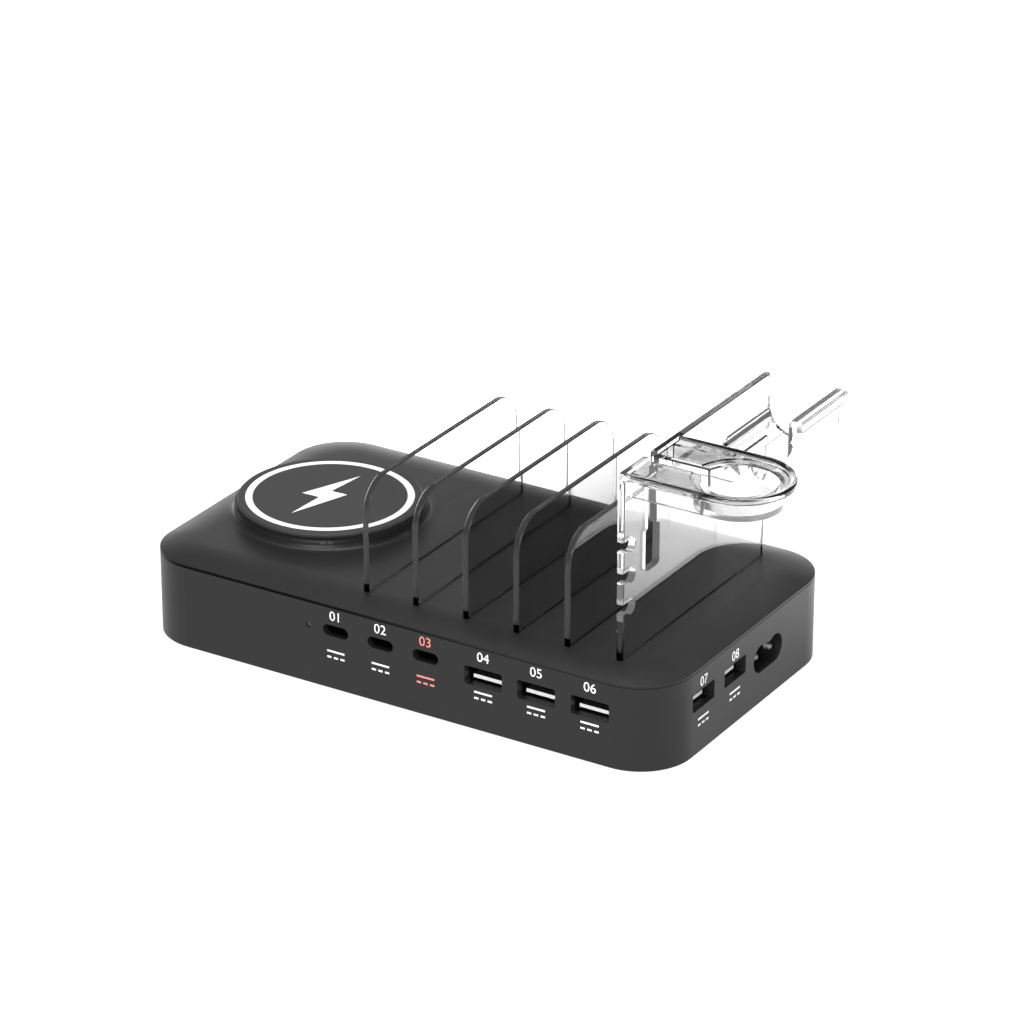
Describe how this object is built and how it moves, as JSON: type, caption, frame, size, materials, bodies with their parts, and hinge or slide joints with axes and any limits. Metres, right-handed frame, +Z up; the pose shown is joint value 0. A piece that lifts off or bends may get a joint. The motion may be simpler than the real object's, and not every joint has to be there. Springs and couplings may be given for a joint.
{
  "type": "charging station organizer",
  "caption": "Low desktop charging station with a round charging pad, sockets on its front and end, clear lift-out dividers and a clear stand with a puck cup and an earbud cradle.",
  "frame": {"origin": "bottom centre of the whole part's box, on the surface that the feet stand on", "axes": "+X along the base from the charging pad to the stand, -Y the front with the row of sockets, +Z up"},
  "size_m": [0.212, 0.106, 0.0907],
  "materials": {
    "housing_plastic": "fine matt moulded black",
    "pad_plastic": "soft-touch dark grey",
    "pale_print": "white",
    "clear_plastic": "clear polished",
    "foot_rubber": "matt black",
    "screw_steel": "plated",
    "socket_steel": "blackened",
    "pale_plastic": "white",
    "inner_plastic": "matt black",
    "pin_brass": "plated",
    "board_laminate": "green laminate",
    "ferrite": "dull grey",
    "copper": "enamelled copper",
    "can_aluminium": "plain"
  },
  "bodies": {
    "base": {"lower_tub": "housing_plastic", "top_cover": "housing_plastic", "rubber_feet": "foot_rubber", "housing_screws": "screw_steel", "pad_cap": "pad_plastic", "pad_ring": "pale_print", "coil_tray": "inner_plastic", "ferrite_disc": "ferrite", "charging_coil": "copper", "inlet_body": "inner_plastic", "inlet_pins": "pin_brass", "light_pipe": "clear_plastic", "port_board": "board_laminate", "port_board_screws": "screw_steel", "power_board": "board_laminate", "power_board_screws": "screw_steel", "transformer_core": "ferrite", "transformer_winding": "copper", "filter_capacitors": "can_aluminium", "line_choke": "copper", "heat_sink": "can_aluminium", "usb_a_shell_1": "socket_steel", "usb_a_shell_2": "socket_steel", "usb_a_shell_3": "socket_steel", "usb_a_shell_4": "socket_steel", "usb_a_shell_5": "socket_steel", "usb_c_shell_1": "socket_steel", "usb_c_shell_2": "socket_steel", "usb_c_shell_3": "socket_steel", "usb_a_insert_1": "pale_plastic", "usb_a_insert_2": "pale_plastic", "usb_a_insert_3": "pale_plastic", "usb_a_insert_4": "pale_plastic", "usb_a_insert_5": "pale_plastic", "usb_c_insert_1": "inner_plastic", "usb_c_insert_2": "inner_plastic", "usb_c_insert_3": "inner_plastic"},
    "divider_1": {"divider_1": "clear_plastic"},
    "divider_2": {"divider_2": "clear_plastic"},
    "divider_3": {"divider_3": "clear_plastic"},
    "divider_4": {"divider_4": "clear_plastic"},
    "divider_5": {"divider_5": "clear_plastic"},
    "clear_stand": {"clear_stand": "clear_plastic"}
  },
  "joints": [
    {"name": "divider_1_lift", "type": "slide", "parent": "base", "child": "divider_1", "axis": [0, 0, 1], "range_m": [0, 0.012]},
    {"name": "divider_2_lift", "type": "slide", "parent": "base", "child": "divider_2", "axis": [0, 0, 1], "range_m": [0, 0.012]},
    {"name": "divider_3_lift", "type": "slide", "parent": "base", "child": "divider_3", "axis": [0, 0, 1], "range_m": [0, 0.012]},
    {"name": "divider_4_lift", "type": "slide", "parent": "base", "child": "divider_4", "axis": [0, 0, 1], "range_m": [0, 0.012]},
    {"name": "divider_5_lift", "type": "slide", "parent": "base", "child": "divider_5", "axis": [0, 0, 1], "range_m": [0, 0.012]},
    {"name": "stand_lift", "type": "slide", "parent": "base", "child": "clear_stand", "axis": [0, 0, 1], "range_m": [0, 0.016]}
  ]
}
